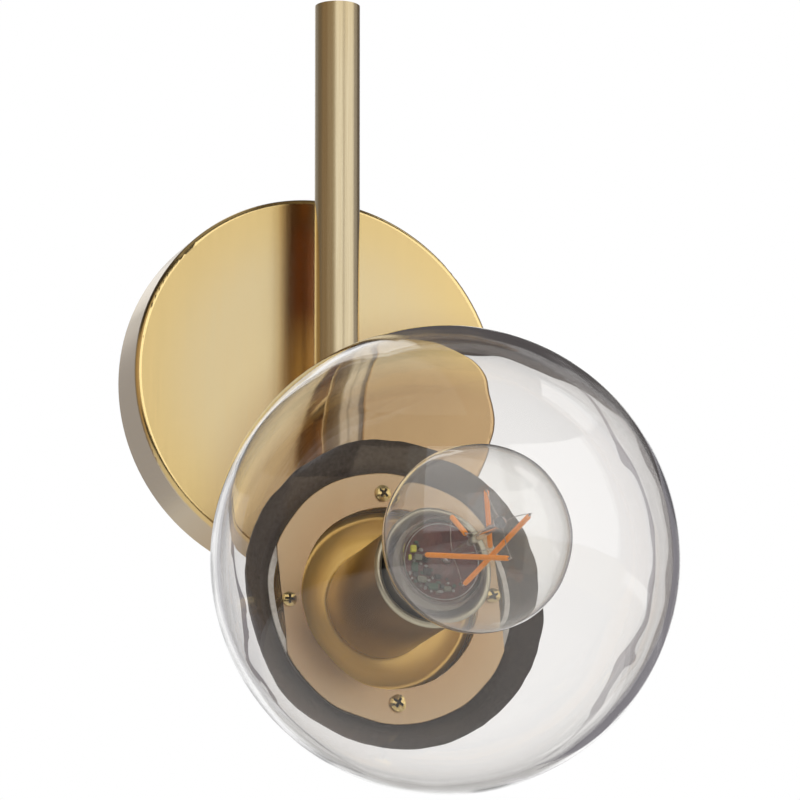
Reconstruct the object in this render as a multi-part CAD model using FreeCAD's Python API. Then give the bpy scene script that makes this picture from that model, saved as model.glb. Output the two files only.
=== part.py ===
import FreeCAD, Part
import math
import os

from FreeCAD import Vector

os.makedirs("parts", exist_ok=True)

# The wall is the plane y = 0, the light stands out from it toward -Y, +Z is up and +X is to the right.
# The origin is the centre of the canopy's back. Lengths are in millimetres and angles in degrees.
# A depth is a distance from the wall, so a point at depth d has y = -d.

# Canopy and mounting strap
canopy_radius = 84.5
canopy_depth = 27.0
canopy_wall = 1.2
canopy_edge_radius = 2.6
strap_width = 20.0
strap_thickness = 2.0
strap_bend_radius = 2.0
strap_ear_length = 20.0
strap_slot_centre = 39.5
strap_slot_travel = 12.0
strap_slot_width = 4.8
rim_screw_depth = 13.0
ground_screw_height = 17.0

# Stem and the post that carries it
stem_radius = 10.0
stem_wall = 1.0
stem_gap_to_canopy = 17.0
stem_rise = 166.5
stem_tail = 18.0
plug_length = 5.0
plug_recess = 0.4
insert_length = 24.0
wire_way_radius = 3.5
post_radius = 6.35

# Threaded tube, nuts and washers
nipple_radius = 4.85
nipple_bore_radius = 3.2
nipple_grip = 7.0
nipple_end_length = 2.5
nut_width = 15.0
nut_height = 3.2
nut_crown = 0.64
washer_radius = 9.0
washer_thickness = 0.8

# Shade holder and socket cup
shade_drop = 119.5
sleeve_radius = 8.0
sleeve_length = 49.5
holder_radius = 41.0
holder_wall = 1.5
holder_skirt_length = 12.0
holder_rim_radius = 2.6
holder_rim_wrap = 40.0
holder_dish_depth = 3.2
holder_dish_sag = 0.75
cup_radius = 25.0
cup_length = 74.0
cup_wall = 1.0
cup_base_edge = 2.5
cup_lip_radius = 1.6

# Lampholder
bracket_radius = 12.0
bracket_thickness = 1.6
bracket_collar_radius = 7.2
bracket_collar_length = 9.0
body_radius = 20.0
body_back_radius = 12.5
body_back_length = 10.0
body_length = 47.0
body_mouth_recess = 1.5
screw_shell_wall = 0.4
leaf_width = 6.0
leaf_thickness = 0.5
leaf_rise = 3.0
terminal_spacing = 32.0
terminal_screw_length = 6.0

# Lamp
lamp_share_of_globe = 0.4
lamp_neck_length = 42.0
lamp_glass_wall = 0.8
lamp_neck_radius = 19.5
lamp_neck_blend = 16.0
lamp_shell_radius = 13.0
lamp_shell_length = 18.5
lamp_shell_wall = 0.3
lamp_collar_rise = 1.5
lamp_insulator_radius = 8.5
lamp_insulator_length = 5.6
lamp_tip_radius = 4.7
lamp_tip_length = 2.4
board_thickness = 1.0
board_rise = 8.0

# The parts on the lamp's board: the place of each across and up, its width, height and rise
board_components = [(-10.8, 1.2, 3.8, 2.8, 1.8), (-13.2, 5.0, 2.6, 3.2, 2.0), (-12.4, -3.4, 3.0, 4.2, 1.6),
                    (-9.2, -8.6, 4.2, 2.8, 1.6), (-4.0, -11.4, 4.4, 3.0, 1.4), (2.6, -12.0, 3.2, 2.4, 1.2)]

lamp_stem_foot_radius = 7.6
flare_length = 9.0
lamp_press_radius = 2.55
lamp_rod_radius = 1.7
lamp_bead_radius = 2.8
filament_count = 4
filament_radius = 0.95
filament_ring_radius = 15.0
filament_cage_length = 52.0
filament_cage_offset = 2.0
filament_twist = 100.0
filament_first_angle = 190.0
lead_radius = 0.3
lead_reach = 5.6

# Shade
globe_radius = 100.0
globe_wall = 3.0
globe_lip_from_holder = 4.7
globe_hole_radius = 51.5
gasket_inner_radius = 55.5
gasket_outer_radius = 70.3
gasket_thickness = 2.0
fitter_wall = 1.8
fitter_outer_radius = 66.8
fitter_flat_radius = 50.5
fitter_setback = 3.0
fitter_skirt_wall = 2.4
fitter_skirt_length = 10.5
plate_radius = 56.0
plate_flat_distance = 50.0
plate_bore_radius = 40.8
plate_thickness = 1.8
cushion_edge_thickness = 1.2
clamp_circle_radius = 47.0
clamp_post_radius = 3.2
clamp_count = 4
thumb_count = 3
thumb_head_radius = 4.0
thumb_head_length = 7.0
thumb_head_chamfer = 0.5
shade_turn = 5.0

# Screws
clamp_screw_radius = 1.9
clamp_head_radius = 3.6
clamp_head_height = 2.2
clamp_screw_length = 8.0
rim_screw_radius = 1.9
rim_head_radius = 4.0
rim_head_height = 2.4
rim_screw_length = 10.0
thumb_screw_radius = 1.5
terminal_screw_radius = 1.6
terminal_head_radius = 3.0
terminal_head_height = 2.0
head_crown_share = 0.45

# Clearances
seat_gap = 0.05
gasket_gap = 0.12
thread_gap = 0.1
hole_gap = 0.3
slip_gap = 0.5
lamp_tip_gap = 0.4
cut_margin = 1.0

# Depths that follow from the sizes above
stem_depth = canopy_depth + stem_gap_to_canopy + stem_radius
stem_front = stem_depth + stem_radius
stem_back = stem_depth - stem_radius
holder_back = stem_front + sleeve_length
holder_face = holder_back + holder_wall
holder_front = holder_face + holder_dish_depth
cup_mouth = holder_face + seat_gap + cup_length
body_mouth = cup_mouth - body_mouth_recess
body_back = body_mouth - body_length
body_step = body_back + body_back_length
fitter_face = holder_face - fitter_setback
fitter_back = fitter_face - fitter_wall
fitter_bore_radius = holder_radius + slip_gap
fitter_skirt_radius = fitter_bore_radius + fitter_skirt_wall
glass_inner_radius = globe_radius - globe_wall
globe_lip_radius = globe_hole_radius + globe_wall / 2
globe_lip = holder_face + globe_lip_from_holder
globe_centre = globe_lip + math.sqrt(globe_radius ** 2 - globe_lip_radius ** 2)
gasket_front_radius = globe_radius + seat_gap
gasket_back_radius = gasket_front_radius + gasket_thickness
fitter_front_radius = gasket_back_radius + gasket_gap
plate_seat = globe_centre - math.sqrt(glass_inner_radius ** 2 - plate_radius ** 2)
plate_back = plate_seat + cushion_edge_thickness
plate_front = plate_back + plate_thickness
lamp_collar = cup_mouth + lamp_collar_rise
lamp_shell_back = lamp_collar - lamp_shell_length
lamp_insulator_back = lamp_shell_back - lamp_insulator_length
lamp_tip = lamp_insulator_back - lamp_tip_length
lamp_collar_radius = lamp_shell_radius - 2 * thread_gap
lamp_radius = lamp_share_of_globe * globe_radius
lamp_centre = lamp_tip + lamp_neck_length + lamp_radius
leaf_top = lamp_tip - lamp_tip_gap
body_floor = leaf_top - leaf_rise
canopy_nut_back = canopy_depth - canopy_wall - washer_thickness - nut_height
holder_washer_back = holder_face + seat_gap + cup_wall
holder_nut_back = holder_washer_back + washer_thickness
bracket_back = body_back - bracket_thickness - bracket_collar_length
thumb_depth = fitter_back - thumb_head_radius - hole_gap
strap_reach = math.sqrt((canopy_radius - canopy_wall) ** 2 - (strap_width / 2) ** 2) - hole_gap


def on_shade_axis(shape):
    """Moves a shape made about the Y axis down to the axis of the shade."""
    shape.translate(Vector(0, 0, -shade_drop))
    return shape


def turned(shape, angle):
    """Turns a shape about the Y axis, anticlockwise as seen from the room."""
    shape.rotate(Vector(0, 0, 0), Vector(0, -1, 0), angle)
    return shape


def rod(radius, near, far, x=0.0, z=0.0):
    """A cylinder along the depth, between two depths."""
    return Part.makeCylinder(radius, far - near, Vector(x, -near, z), Vector(0, -1, 0))


def upright(radius, bottom, top, depth=0.0):
    """A cylinder along Z, between two heights."""
    return Part.makeCylinder(radius, top - bottom, Vector(0, -depth, bottom), Vector(0, 0, 1))


def pipe(radius, bore, near, far):
    """A tube along the depth, between two depths."""
    return rod(radius, near, far).cut(rod(bore, near, far))


def wire(start, end, radius):
    """A round wire between two points."""
    run = end - start
    return Part.makeCylinder(radius, run.Length, start, run)


def sweep(centre, radius, first, last):
    """The middle and end of an arc for spun(). Angle 0 points away from the axis, 90 into the room."""
    points = []
    for angle in ((first + last) / 2, last):
        turn = math.radians(angle)
        points.append((centre[0] + radius * math.cos(turn), centre[1] + radius * math.sin(turn)))
    return tuple(points)


def sphere_depth(radius, ring):
    """Depth of the wall side of a sphere about the globe's centre, at a distance from the shade's axis."""
    return globe_centre - math.sqrt(radius ** 2 - ring ** 2)


def sphere_arc(radius, first_ring, last_ring):
    """The middle and end of an arc on the wall side of a sphere about the globe's centre."""
    middle_ring = (first_ring + last_ring) / 2
    middle = (middle_ring, sphere_depth(radius, middle_ring))
    return middle, (last_ring, sphere_depth(radius, last_ring))


def dome_drop(radius, height, ring):
    """How far a domed end lies below its crown, at a distance from its axis."""
    ball = (radius ** 2 + height ** 2) / (2 * height)
    return ball - math.sqrt(ball ** 2 - ring ** 2)


def spun(start, *steps):
    """A solid of revolution about the Y axis from an outline of (radius, depth) points.
    A step is the next point of a straight line, or the middle and end of an arc."""
    edges = []
    here = start
    for step in steps + (start,):
        if isinstance(step[0], tuple):
            middle, end = step
            ends = [Vector(radius, -depth, 0) for radius, depth in (here, middle, end)]
            edges.append(Part.Arc(*ends).toShape())
        else:
            end = step
            if end != here:
                edges.append(Part.makeLine(Vector(here[0], -here[1], 0), Vector(end[0], -end[1], 0)))
        here = end
    face = Part.Face(Part.Wire(edges))
    return face.revolve(Vector(0, 0, 0), Vector(0, 1, 0), 360)


def hexagon_nut(near):
    """A hexagon nut on the threaded tube, its wall side at a depth."""
    corner = nut_width / math.sqrt(3)
    points = []
    for index in range(7):
        turn = math.radians(60 * index)
        points.append(Vector(corner * math.cos(turn), -near, corner * math.sin(turn)))
    block = Part.Face(Part.makePolygon(points)).extrude(Vector(0, -nut_height, 0))
    crown = spun((0, near), (corner, near), (corner, near + nut_height - nut_crown),
                 (nut_width / 2, near + nut_height), (0, near + nut_height))
    return block.common(crown).cut(rod(nipple_radius + thread_gap, near, near + nut_height))


def washer(near):
    """A flat washer on the threaded tube."""
    return pipe(washer_radius, nipple_radius + hole_gap, near, near + washer_thickness)


def nipple(near, far):
    """The threaded tube that clamps a joint and carries the wires."""
    return pipe(nipple_radius, nipple_bore_radius, near, far)


def pan_screw(radius, length, head_radius, head_height):
    """A pan head screw on the Y axis: the head from depth 0 into the room, the shank toward the wall."""
    crown = head_height * head_crown_share
    half = head_radius / 2
    half_depth = head_height - dome_drop(head_radius, crown, half)
    return spun((0, -length), (radius, -length), (radius, 0), (head_radius, 0),
                (head_radius, head_height - crown), ((half, half_depth), (0, head_height)))


# Canopy and mounting strap

def make_canopy():
    """A spun dish, open to the wall, with a round front edge."""
    inner_edge = canopy_edge_radius - canopy_wall
    bend = (canopy_radius - canopy_edge_radius, canopy_depth - canopy_edge_radius)
    hole = nipple_radius + hole_gap
    dish = spun((hole, canopy_depth), (bend[0], canopy_depth),
                sweep(bend, canopy_edge_radius, 90, 0), (canopy_radius, 0),
                (canopy_radius - canopy_wall, 0), (bend[0] + inner_edge, bend[1]),
                sweep(bend, inner_edge, 0, 90), (hole, canopy_depth - canopy_wall))
    reach = canopy_radius + cut_margin
    rim_hole = upright(rim_screw_radius + hole_gap, -reach, reach, rim_screw_depth)
    return dish.cut(rim_hole)


def fold_edges(block, depth):
    """The edges of a centred block that run across it at a depth."""
    return [edge for edge in block.Edges
            if abs(edge.CenterOfMass.y + depth) < seat_gap and abs(edge.CenterOfMass.x) < seat_gap]


def make_strap():
    """A flat strap on the wall with two ears bent forward inside the canopy's rim."""
    reach = strap_reach
    outside = Part.makeBox(strap_width, strap_ear_length, 2 * reach,
                           Vector(-strap_width / 2, -strap_ear_length, -reach))
    outside = outside.makeFillet(strap_bend_radius + strap_thickness, fold_edges(outside, 0))
    room = reach - strap_thickness
    inside = Part.makeBox(strap_width, strap_ear_length, 2 * room,
                          Vector(-strap_width / 2, -strap_ear_length - strap_thickness, -room))
    strap = outside.cut(inside.makeFillet(strap_bend_radius, fold_edges(inside, strap_thickness)))
    ear_hole = upright(rim_screw_radius + thread_gap, -reach - cut_margin, reach + cut_margin,
                       rim_screw_depth)
    cuts = [ear_hole, rod(nipple_radius + hole_gap, 0, strap_thickness),
            rod(rim_screw_radius + thread_gap, 0, strap_thickness, 0, ground_screw_height)]
    slot_width = strap_slot_width / 2
    for side in (-1, 1):
        middle = side * strap_slot_centre
        low = middle - strap_slot_travel / 2
        cuts.append(Part.makeBox(strap_slot_width, strap_thickness, strap_slot_travel,
                                 Vector(-slot_width, -strap_thickness, low)))
        for end in (low, low + strap_slot_travel):
            cuts.append(rod(slot_width, 0, strap_thickness, 0, end))
    return strap.cut(cuts)


def make_ground_screw():
    screw = pan_screw(rim_screw_radius, strap_thickness, rim_head_radius, rim_head_height)
    screw.translate(Vector(0, -strap_thickness, ground_screw_height))
    return screw


def make_rim_screws():
    """Two screws through the rim, at the top and the bottom, into the ears of the strap."""
    screws = []
    for angle in (90, -90):
        screw = pan_screw(rim_screw_radius, rim_screw_length, rim_head_radius, rim_head_height)
        screw.rotate(Vector(0, 0, 0), Vector(1, 0, 0), -angle)
        lift = canopy_radius + seat_gap
        screw.translate(Vector(0, -rim_screw_depth, math.copysign(lift, angle)))
        screws.append(screw)
    return Part.Compound(screws)


# Stem

def make_post():
    """A short round post whose end is a saddle for the stem."""
    post = pipe(post_radius, nipple_radius + thread_gap, canopy_depth, stem_depth)
    return post.cut(upright(stem_radius + seat_gap, -stem_radius, stem_radius, stem_depth))


def make_stem():
    """The stem, with a hole at its back for the post's nipple and one at its front for the sleeve's."""
    stem_bottom = -shade_drop - stem_tail
    tube = upright(stem_radius, stem_bottom, stem_rise, stem_depth)
    tube = tube.cut(upright(stem_radius - stem_wall, stem_bottom, stem_rise, stem_depth))
    back_hole = rod(nipple_radius + hole_gap, stem_back - stem_wall, stem_depth)
    front_hole = rod(nipple_radius + hole_gap, stem_depth, stem_front + stem_wall, 0, -shade_drop)
    return tube.cut([back_hole, front_hole])


def make_plug(top):
    """A plug pressed into the top or the bottom end of the stem."""
    radius = stem_radius - stem_wall - seat_gap
    if top:
        low = stem_rise - plug_recess - plug_length
    else:
        low = -shade_drop - stem_tail + plug_recess
    plug = upright(radius, low, low + plug_length, stem_depth)
    rims = [edge for edge in plug.Edges if edge.Closed]
    return plug.makeChamfer(plug_recess, rims)


def make_insert(height, faces_room):
    """A plug inside the stem, tapped crosswise for a nipple and bored along the stem for the wires."""
    radius = stem_radius - stem_wall - seat_gap
    half = insert_length / 2
    block = upright(radius, height - half, height + half, stem_depth)
    tapped = nipple_radius + thread_gap
    if faces_room:
        cross = rod(tapped, stem_depth, stem_front, 0, height)
        bore = upright(wire_way_radius, height, height + half, stem_depth)
    else:
        cross = rod(tapped, stem_back, stem_depth, 0, height)
        bore = upright(wire_way_radius, height - half, height + half, stem_depth)
    return block.cut([cross, bore])


# Shade holder, socket cup and lampholder, all about the shade's axis

def make_sleeve():
    """A turned sleeve from the stem to the holder, with a saddle end."""
    sleeve = pipe(sleeve_radius, nipple_radius + thread_gap, stem_depth, holder_back)
    return sleeve.cut(upright(stem_radius + seat_gap, -stem_radius, stem_radius, stem_depth))


def make_holder():
    """A spun holder: a shallow golden dish toward the lamp, a rolled rim and a skirt toward the wall."""
    hole = nipple_radius + hole_gap
    rim = (holder_radius - holder_rim_radius, holder_front - holder_rim_radius)
    inner_rim = holder_rim_radius - holder_wall
    wrap = math.radians(holder_rim_wrap)
    dish_radius = rim[0] - holder_rim_radius * math.sin(wrap)
    dish_depth = rim[1] + holder_rim_radius * math.cos(wrap)
    flat = cup_radius + 2 * hole_gap
    middle = ((flat + dish_radius) / 2 + holder_dish_sag,
              (holder_face + dish_depth) / 2 - holder_dish_sag)
    slope = math.atan2(dish_depth - holder_face, dish_radius - flat)
    under_middle = (middle[0] + holder_wall * math.sin(slope), middle[1] - holder_wall * math.cos(slope))
    skirt_end = holder_front - holder_skirt_length
    return spun((hole, holder_face), (flat, holder_face), (middle, (dish_radius, dish_depth)),
                sweep(rim, holder_rim_radius, 90 + holder_rim_wrap, 0), (holder_radius, skirt_end),
                (holder_radius - holder_wall, skirt_end), (rim[0] + inner_rim, rim[1]),
                sweep(rim, inner_rim, 0, 90 + holder_rim_wrap),
                (under_middle, (flat + holder_wall / 2, holder_back)), (hole, holder_back))


def make_cup():
    """The socket cup: a deep drawn cup with a rolled lip."""
    base = holder_face + seat_gap
    hole = nipple_radius + hole_gap
    bend = (cup_radius - cup_base_edge, base + cup_base_edge)
    inner_edge = cup_base_edge - cup_wall
    inner_radius = cup_radius - cup_wall
    lip = (cup_radius, cup_mouth - cup_lip_radius)
    neck = math.sqrt(cup_lip_radius ** 2 - cup_wall ** 2)
    lip_angle = math.degrees(math.atan2(-neck, -cup_wall))
    return spun((hole, base), (bend[0], base), sweep(bend, cup_base_edge, -90, 0),
                (cup_radius, lip[1] - cup_lip_radius), sweep(lip, cup_lip_radius, -90, 90),
                sweep(lip, cup_lip_radius, 90, 360 + lip_angle), (inner_radius, bend[1]),
                sweep((bend[0], bend[1]), inner_edge, 0, -90), (hole, base + cup_wall))


def make_bracket():
    """The steel bracket that screws onto the nipple and carries the lampholder."""
    plate = pipe(bracket_radius, nipple_radius + thread_gap, body_back - bracket_thickness, body_back)
    collar = pipe(bracket_collar_radius, nipple_radius + thread_gap, bracket_back,
                  body_back - bracket_thickness)
    return plate.fuse(collar).removeSplitter()


def make_body():
    """The porcelain body: a stepped barrel, open to the lamp, with two terminal holes in its step."""
    cavity = lamp_shell_radius + hole_gap + screw_shell_wall + thread_gap
    body = spun((wire_way_radius, body_back), (body_back_radius, body_back), (body_back_radius, body_step),
                (body_radius, body_step), (body_radius, body_mouth), (cavity, body_mouth),
                (cavity, body_floor), (wire_way_radius, body_floor))
    for side in (-1, 1):
        hole = rod(terminal_screw_radius + thread_gap, body_step,
                   body_step + terminal_screw_length + slip_gap, side * terminal_spacing / 2)
        body = body.cut(hole)
    return body


def make_screw_shell():
    """The brass shell that the lamp screws into."""
    bore = lamp_shell_radius + hole_gap
    return pipe(bore + screw_shell_wall, bore, lamp_shell_back, body_mouth - screw_shell_wall)


def make_leaf():
    """The spring leaf under the lamp's tip: a foot on the floor, a ramp and a tongue."""
    foot = lamp_shell_radius - leaf_width / 2
    low = body_floor + seat_gap
    toe = wire_way_radius + hole_gap
    outline = [(-foot, low), (-toe, low), (hole_gap, leaf_top - leaf_thickness),
               (toe, leaf_top - leaf_thickness), (toe, leaf_top), (0, leaf_top),
               (-toe - hole_gap, low + leaf_thickness), (-foot, low + leaf_thickness)]
    points = [Vector(-leaf_width / 2, -depth, height) for height, depth in outline]
    points.append(points[0])
    return Part.Face(Part.makePolygon(points)).extrude(Vector(leaf_width, 0, 0))


def make_terminal_screws():
    screws = []
    for side in (-1, 1):
        screw = pan_screw(terminal_screw_radius, terminal_screw_length, terminal_head_radius,
                          terminal_head_height)
        screw.rotate(Vector(0, 0, 0), Vector(0, 0, 1), 180)
        screw.translate(Vector(side * terminal_spacing / 2, -body_step + seat_gap, 0))
        screws.append(screw)
    return Part.Compound(screws)


# Shade: fitter, gasket, globe, cushion, clamp plate and screws, which come off together

def make_fitter():
    """The spun ring behind the globe: a skirt over the holder, a flat flange and a curved seat."""
    back_radius = fitter_front_radius + fitter_wall
    seat_start = gasket_inner_radius - hole_gap
    return spun((fitter_bore_radius, fitter_back - fitter_skirt_length),
                (fitter_skirt_radius, fitter_back - fitter_skirt_length), (fitter_skirt_radius, fitter_back),
                (fitter_flat_radius + fitter_wall / 2, fitter_back),
                (seat_start + fitter_wall, sphere_depth(back_radius, seat_start + fitter_wall)),
                sphere_arc(back_radius, seat_start + fitter_wall, fitter_outer_radius),
                (fitter_outer_radius, sphere_depth(fitter_front_radius, fitter_outer_radius)),
                sphere_arc(fitter_front_radius, fitter_outer_radius, seat_start),
                (fitter_flat_radius, fitter_face), (fitter_bore_radius, fitter_face))


def clamp_angles():
    return [360 * index / clamp_count for index in range(clamp_count)]


def make_clamp_posts():
    """Tapped posts on the fitter's flange that the clamp screws pull the plate down to."""
    posts = []
    for angle in clamp_angles():
        post = rod(clamp_post_radius, fitter_face, plate_back, clamp_circle_radius)
        hole = rod(clamp_screw_radius + thread_gap, fitter_face + fitter_wall, plate_back,
                   clamp_circle_radius)
        posts.append(turned(post.cut(hole), angle))
    return Part.Compound(posts)


def make_clamp_screws():
    screws = []
    for angle in clamp_angles():
        screw = pan_screw(clamp_screw_radius, clamp_screw_length, clamp_head_radius, clamp_head_height)
        screw.translate(Vector(clamp_circle_radius, -plate_front, 0))
        screws.append(turned(screw, angle))
    return Part.Compound(screws)


def make_clamp_plate():
    """A flat ring inside the globe. Its two flats let it pass the globe's opening edge first."""
    plate = pipe(plate_radius, plate_bore_radius, plate_back, plate_front)
    keep = Part.makeBox(2 * plate_flat_distance, plate_thickness, 2 * plate_radius,
                        Vector(-plate_flat_distance, -plate_front, -plate_radius))
    holes = []
    for angle in clamp_angles():
        hole = rod(clamp_screw_radius + hole_gap, plate_back, plate_front, clamp_circle_radius)
        holes.append(turned(hole, angle))
    return plate.common(keep).cut(holes)


def make_cushion():
    """A clear wedge ring between the clamp plate and the inside of the globe."""
    ball = glass_inner_radius - seat_gap
    front = plate_back - seat_gap
    inner = globe_lip_radius + hole_gap
    outer = plate_radius - hole_gap
    return spun((inner, front), (outer, front), (outer, sphere_depth(ball, outer)),
                sphere_arc(ball, outer, inner))


def make_globe():
    """A blown glass globe with one opening, whose lip is fire polished."""
    middle_radius = globe_radius - globe_wall / 2
    lip_middle = (globe_hole_radius, sphere_depth(middle_radius, globe_hole_radius))
    outer_lip = (globe_lip_radius, sphere_depth(globe_radius, globe_lip_radius))
    inner_lip = (globe_lip_radius, sphere_depth(glass_inner_radius, globe_lip_radius))
    return spun((0, globe_centre + globe_radius), ((globe_radius, globe_centre), outer_lip),
                (lip_middle, inner_lip), ((glass_inner_radius, globe_centre),
                                          (0, globe_centre + glass_inner_radius)))


def make_gasket():
    """The dark ring between the globe and the fitter."""
    return spun((gasket_inner_radius, sphere_depth(gasket_front_radius, gasket_inner_radius)),
                sphere_arc(gasket_front_radius, gasket_inner_radius, gasket_outer_radius),
                (gasket_outer_radius, sphere_depth(gasket_back_radius, gasket_outer_radius)),
                sphere_arc(gasket_back_radius, gasket_outer_radius, gasket_inner_radius))


def thumb_holes():
    """The holes in the fitter's skirt for the thumb screws."""
    holes = []
    for angle in thumb_angles():
        hole = Part.makeCylinder(thumb_screw_radius + thread_gap, 2 * fitter_skirt_wall,
                                 Vector(fitter_bore_radius - slip_gap, -thumb_depth, 0), Vector(1, 0, 0))
        holes.append(turned(hole, angle))
    return holes


def thumb_angles():
    return [90 + 360 * index / thumb_count for index in range(thumb_count)]


def make_thumb_screws():
    """Three thumb screws through the skirt, which hold the shade on the holder."""
    screws = []
    tip = holder_radius + hole_gap
    head = fitter_skirt_radius + slip_gap
    for angle in thumb_angles():
        shank = Part.makeCylinder(thumb_screw_radius, head - tip, Vector(tip, -thumb_depth, 0),
                                  Vector(1, 0, 0))
        grip = Part.makeCylinder(thumb_head_radius, thumb_head_length, Vector(head, -thumb_depth, 0),
                                 Vector(1, 0, 0))
        rims = [edge for edge in grip.Edges if edge.Closed]
        screw = shank.fuse(grip.makeChamfer(thumb_head_chamfer, rims)).removeSplitter()
        screws.append(turned(screw, angle))
    return Part.Compound(screws)


# Lamp

def lamp_blend_centre():
    """The centre of the hollow blend between the lamp's globe and its neck."""
    apart = lamp_radius + lamp_neck_blend
    across = lamp_neck_radius + lamp_neck_blend
    return across, lamp_centre - math.sqrt(apart ** 2 - across ** 2)


def lamp_shoulder():
    """The round shoulder between the lamp's collar and neck: its centre and its radius."""
    narrowing = lamp_neck_radius - lamp_collar_radius
    drop = lamp_blend_centre()[1] - lamp_collar
    radius = (narrowing ** 2 + drop ** 2) / (2 * narrowing)
    return (lamp_neck_radius - radius, lamp_blend_centre()[1]), radius


def lamp_outline(shrink, end):
    """The lamp's glass, drawn in by a wall: a globe, a hollow blend, a neck and a shoulder to the collar."""
    ball = lamp_radius - shrink
    blend = lamp_neck_blend + shrink
    neck = lamp_neck_radius - shrink
    blend_centre = lamp_blend_centre()
    shoulder_centre, shoulder = lamp_shoulder()
    lean = math.degrees(math.asin(blend_centre[0] / (lamp_radius + lamp_neck_blend)))
    close = -math.degrees(math.asin((blend_centre[1] - lamp_collar) / shoulder))
    collar = sweep(shoulder_centre, shoulder - shrink, 0, close)
    return spun((0, lamp_centre + ball), sweep((0, lamp_centre), ball, 90, lean - 90),
                sweep(blend_centre, blend, 90 + lean, 180), (neck, blend_centre[1]), collar,
                (collar[1][0], end), (0, end))


def make_lamp_glass():
    outside = lamp_outline(0, lamp_collar)
    return outside.cut(lamp_outline(lamp_glass_wall, lamp_collar - lamp_glass_wall))


def make_lamp_shell():
    """The lamp's screw shell, which narrows to the insulator."""
    inner = lamp_shell_radius - lamp_shell_wall
    narrow = lamp_insulator_radius + seat_gap
    slope = lamp_shell_back + (lamp_shell_radius - lamp_insulator_radius) / 2
    return spun((lamp_shell_radius, lamp_collar - seat_gap), (lamp_shell_radius, slope),
                (narrow, lamp_shell_back), (narrow, lamp_shell_back + 2 * lamp_shell_wall),
                (inner, slope + lamp_shell_wall), (inner, lamp_collar - seat_gap))


def make_lamp_insulator():
    front = lamp_shell_back + lamp_shell_wall
    return spun((0, front), (lamp_insulator_radius, front),
                (lamp_insulator_radius, lamp_shell_back - lamp_shell_wall),
                (lamp_tip_radius + slip_gap, lamp_insulator_back), (0, lamp_insulator_back))


def make_lamp_tip():
    """The rounded contact at the end of the lamp."""
    side = lamp_insulator_back - seat_gap
    crown = lamp_tip_length / 2
    half = lamp_tip_radius / 2
    return spun((0, side), (lamp_tip_radius, side), (lamp_tip_radius, lamp_tip + crown),
                ((half, lamp_tip + dome_drop(lamp_tip_radius, crown, half)), (0, lamp_tip)))


def make_board():
    """The round driver board across the neck's shoulder, with its parts on the lamp side."""
    back = lamp_collar + board_rise
    front = back + board_thickness
    centre, shoulder = lamp_shoulder()
    wall = shoulder - lamp_glass_wall
    board_radius = centre[0] + math.sqrt(wall ** 2 - (centre[1] - back) ** 2) - hole_gap
    board = rod(board_radius, back, front)
    for x, z, width, height, rise in board_components:
        corner = Vector(x - width / 2, -front - rise, z - height / 2)
        board = board.fuse(Part.makeBox(width, rise, height, corner))
    return board.removeSplitter()


def make_lamp_stem():
    """The glass stem: a trumpet on the board, a rod through the cage and a bead at its end."""
    back = lamp_collar + board_rise + board_thickness + seat_gap
    front = back + flare_length
    mouth = lamp_stem_foot_radius
    throat = mouth - lamp_press_radius
    curve = (throat ** 2 + flare_length ** 2) / (2 * throat)
    curve_centre = (lamp_press_radius + curve, front)
    open_angle = 180 + math.degrees(math.asin(flare_length / curve))
    inner_curve = curve + lamp_glass_wall
    inner_angle = 180 + math.degrees(math.asin(flare_length / inner_curve))
    bead = filament_depths()[1] + lamp_bead_radius
    join_angle = -math.degrees(math.acos(lamp_rod_radius / lamp_bead_radius))
    join = bead + lamp_bead_radius * math.sin(math.radians(join_angle))
    return spun((0, front), (lamp_press_radius - lamp_glass_wall, front),
                sweep(curve_centre, inner_curve, 180, inner_angle), (mouth, back),
                sweep(curve_centre, curve, open_angle, 180),
                (lamp_rod_radius, front + lamp_press_radius),
                (lamp_rod_radius, join), sweep((0, bead), lamp_bead_radius, join_angle, 90))


def filament_depths():
    """The two depths between which the filaments run."""
    near = lamp_centre + filament_cage_offset - filament_cage_length / 2
    return near, near + filament_cage_length


def on_cage(angle, depth):
    """A point of the filaments' cage."""
    turn = math.radians(angle)
    return Vector(filament_ring_radius * math.cos(turn), -depth, filament_ring_radius * math.sin(turn))


def filament_ends():
    """Both ends of each filament. The cage is twisted, so the filaments cross as seen from the room."""
    near, far = filament_depths()
    ends = []
    for index in range(filament_count):
        angle = filament_first_angle + 360 * index / filament_count
        ends.append((on_cage(angle, near), on_cage(angle + filament_twist, far)))
    return ends


def make_filaments():
    return Part.Compound([wire(start, finish, filament_radius) for start, finish in filament_ends()])


def make_leads():
    """Wires from the stem to the near ends of the filaments, and from the bead to their far ends."""
    near, far = filament_depths()
    wires = []
    for start, finish in filament_ends():
        run = (finish - start).normalize() * (filament_radius + seat_gap)
        for end, root_depth, root_radius in ((start - run, near - lead_reach, lamp_rod_radius),
                                             (finish + run, far + lamp_bead_radius, lamp_bead_radius)):
            out = Vector(end.x, 0, end.z).normalize() * (root_radius + lead_radius)
            wires.append(wire(Vector(out.x, -root_depth, out.z), end, lead_radius))
    return Part.Compound(wires)


shade_parts = {
    "fitter_ring": make_fitter().cut(thumb_holes()),
    "fitter_posts": make_clamp_posts(),
    "thumb_screws": make_thumb_screws(),
    "outer_gasket": make_gasket(),
    "glass_globe": make_globe(),
    "inner_cushion": make_cushion(),
    "clamp_plate": make_clamp_plate(),
    "clamp_screws": make_clamp_screws(),
}

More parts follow.
